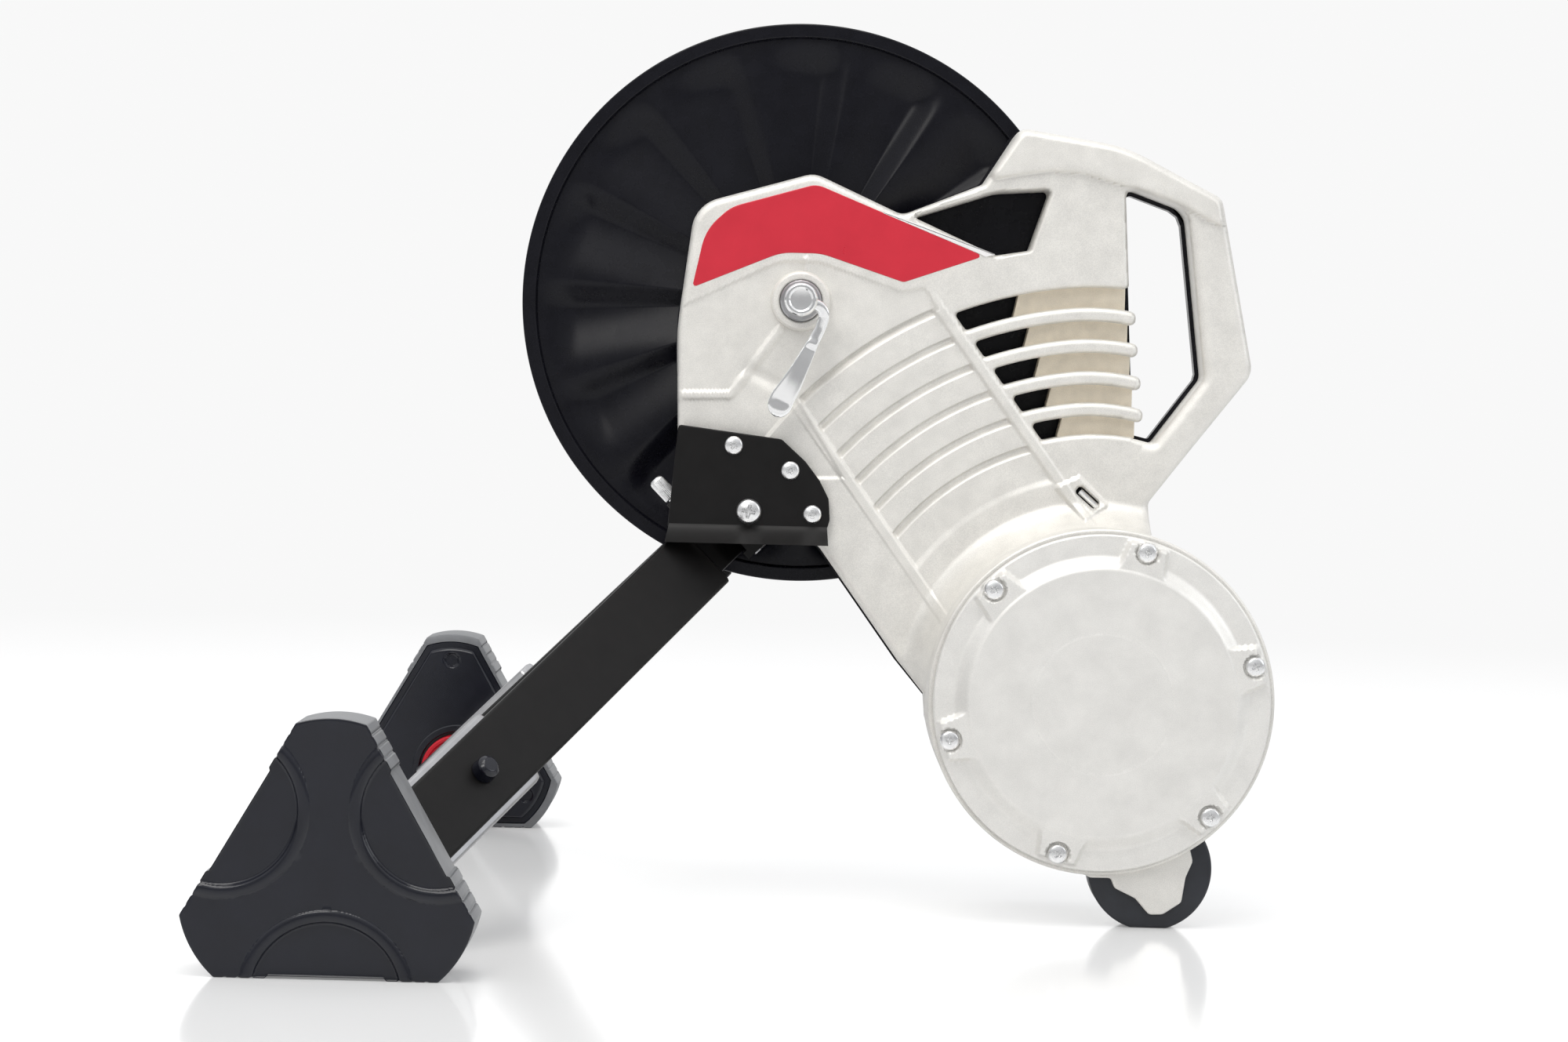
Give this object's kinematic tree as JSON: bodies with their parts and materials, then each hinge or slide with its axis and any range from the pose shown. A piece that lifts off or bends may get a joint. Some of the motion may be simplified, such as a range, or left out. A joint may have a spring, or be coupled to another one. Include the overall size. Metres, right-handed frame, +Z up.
{
  "type": "direct drive bike trainer",
  "caption": "Folding floor trainer that replaces a bike's rear wheel: cast neck and handle, fluted guard, belt drive to a round resistance unit, two splayed legs, quick release.",
  "frame": {"origin": "on the floor under the middle of the trainer's bounding box, in the bike's mid-plane", "axes": "+X towards the resistance unit (the bike's rear), +Y across the bike towards the drive side, +Z up"},
  "size_m": [0.622, 0.84, 0.5567],
  "materials": {
    "cast_alloy": "die-cast, fine sand-like grain, light warm grey",
    "machined_alloy": "turned and anodised",
    "black_plastic": "moulded, satin",
    "gloss_black": "moulded, glossy",
    "rubber": "moulded, dull",
    "red_panel": "smooth, satin, with a white stripe",
    "red_metal": "painted, satin",
    "chrome": "polished",
    "zinc_steel": "zinc plated",
    "steel": "ground",
    "black_paint": "powder coat, semi-gloss"
  },
  "bodies": {
    "frame": {"axle_cap": "machined_alloy", "axle_tube": "steel", "bearing_carrier": "machined_alloy", "belt_tension_screw": "zinc_steel", "bracket_main_bolt": "zinc_steel", "bracket_plate": "black_paint", "bracket_screw_1": "zinc_steel", "bracket_screw_2": "zinc_steel", "bracket_screw_3": "zinc_steel", "chain_guard_disc": "black_plastic", "cover_gasket": "rubber", "cover_screw_1": "zinc_steel", "cover_screw_2": "zinc_steel", "cover_screw_3": "zinc_steel", "cover_screw_4": "zinc_steel", "cover_screw_5": "zinc_steel", "cover_screw_6": "zinc_steel", "drive_belt": "rubber", "freehub_bearing": "steel", "hinge_pin_far": "steel", "hinge_pin_near": "steel", "hub_bearing_far": "steel", "hub_bearing_near": "steel", "leg_channel": "black_paint", "main_casting": "cast_alloy", "rear_cover": "black_plastic", "rear_foot": "rubber", "resistance_cover": "cast_alloy", "shaft_bearing_far": "steel", "shaft_bearing_near": "steel", "shaft_seal": "rubber", "side_panel": "red_panel"},
    "hub": {"hub_shell": "machined_alloy", "drive_pulley": "machined_alloy"},
    "freehub": {"freehub_body": "steel"},
    "resistance_rotor": {"resistance_shaft": "steel", "driven_pulley": "machined_alloy", "impeller": "machined_alloy", "flywheel": "steel", "flywheel_nut": "zinc_steel"},
    "skewer": {"skewer_rod": "zinc_steel", "qr_cam_head": "chrome", "skewer_spring_near": "zinc_steel", "skewer_spring_far": "zinc_steel"},
    "release_lever": {"quick_release_lever": "chrome"},
    "skewer_nut": {"skewer_nut": "zinc_steel"},
    "leg_near": {"leg_near": "black_paint", "foot_hub_near": "red_metal"},
    "leg_far": {"leg_far": "black_paint", "foot_hub_far": "red_metal"},
    "foot_near": {"foot_body_near": "gloss_black", "foot_rubber_near": "rubber", "foot_plate_near": "gloss_black"},
    "foot_far": {"foot_body_far": "gloss_black", "foot_rubber_far": "rubber", "foot_plate_far": "gloss_black"},
    "leg_clamp_near": {"leg_clamp_knob_near": "zinc_steel"},
    "leg_clamp_far": {"leg_clamp_knob_far": "zinc_steel"},
    "foot_lock_near": {"foot_lock_knob_near": "black_plastic"},
    "foot_lock_far": {"foot_lock_knob_far": "black_plastic"}
  },
  "joints": [
    {"name": "resistance_spin", "type": "hinge", "parent": "frame", "child": "resistance_rotor", "pos_m": [0.20505, -0.05, 0.1384], "axis": [0, 1, 0], "continuous": true},
    {"name": "hub_spin", "type": "hinge", "parent": "frame", "child": "hub", "pos_m": [0.01555, -0.012, 0.38], "axis": [0, 1, 0], "continuous": true},
    {"name": "freehub_spin", "type": "hinge", "parent": "hub", "child": "freehub", "pos_m": [0.01555, 0.038, 0.38], "axis": [0, 1, 0], "continuous": true},
    {"name": "skewer_turn", "type": "hinge", "parent": "frame", "child": "skewer", "pos_m": [0.01555, -0.076, 0.38], "axis": [0, 1, 0], "continuous": true},
    {"name": "lever_flip", "type": "hinge", "parent": "skewer", "child": "release_lever", "pos_m": [0.01555, -0.084, 0.38], "axis": [-0.9397, 0, 0.342], "range_deg": [0, 180]},
    {"name": "nut_turn", "type": "hinge", "parent": "skewer", "child": "skewer_nut", "pos_m": [0.01555, 0.078, 0.38], "axis": [0, 1, 0], "continuous": true},
    {"name": "leg_fold_near", "type": "hinge", "parent": "frame", "child": "leg_near", "pos_m": [-0.02145, -0.0205, 0.239], "axis": [0.7071, 0, -0.7071], "range_deg": [0, 42]},
    {"name": "leg_fold_far", "type": "hinge", "parent": "frame", "child": "leg_far", "pos_m": [-0.02145, 0.0205, 0.239], "axis": [-0.7071, 0, 0.7071], "range_deg": [0, 42]},
    {"name": "foot_turn_near", "type": "hinge", "parent": "leg_near", "child": "foot_near", "pos_m": [-0.22545, -0.39, 0.042], "axis": [0, 1, 0], "continuous": true},
    {"name": "foot_turn_far", "type": "hinge", "parent": "leg_far", "child": "foot_far", "pos_m": [-0.22545, 0.39, 0.042], "axis": [0, 1, 0], "continuous": true},
    {"name": "leg_clamp_turn_near", "type": "hinge", "parent": "frame", "child": "leg_clamp_near", "pos_m": [-0.06932, -0.04032, 0.26184], "axis": [-0.7071, 0, 0.7071], "range_deg": [0, 360]},
    {"name": "leg_clamp_turn_far", "type": "hinge", "parent": "frame", "child": "leg_clamp_far", "pos_m": [-0.06932, 0.04032, 0.26184], "axis": [-0.7071, 0, 0.7071], "range_deg": [0, 360]},
    {"name": "foot_lock_pull_near", "type": "slide", "parent": "leg_near", "child": "foot_lock_near", "axis": [0.5274, -0.6662, 0.5274], "range_m": [0, 0.004], "stiffness_N_per_m": 300},
    {"name": "foot_lock_pull_far", "type": "slide", "parent": "leg_far", "child": "foot_lock_far", "axis": [0.5274, 0.6662, 0.5274], "range_m": [0, 0.004], "stiffness_N_per_m": 300}
  ],
  "couplings": [
    {"joint": "hub_spin", "follows": "resistance_spin", "ratio": 0.2189}
  ]
}
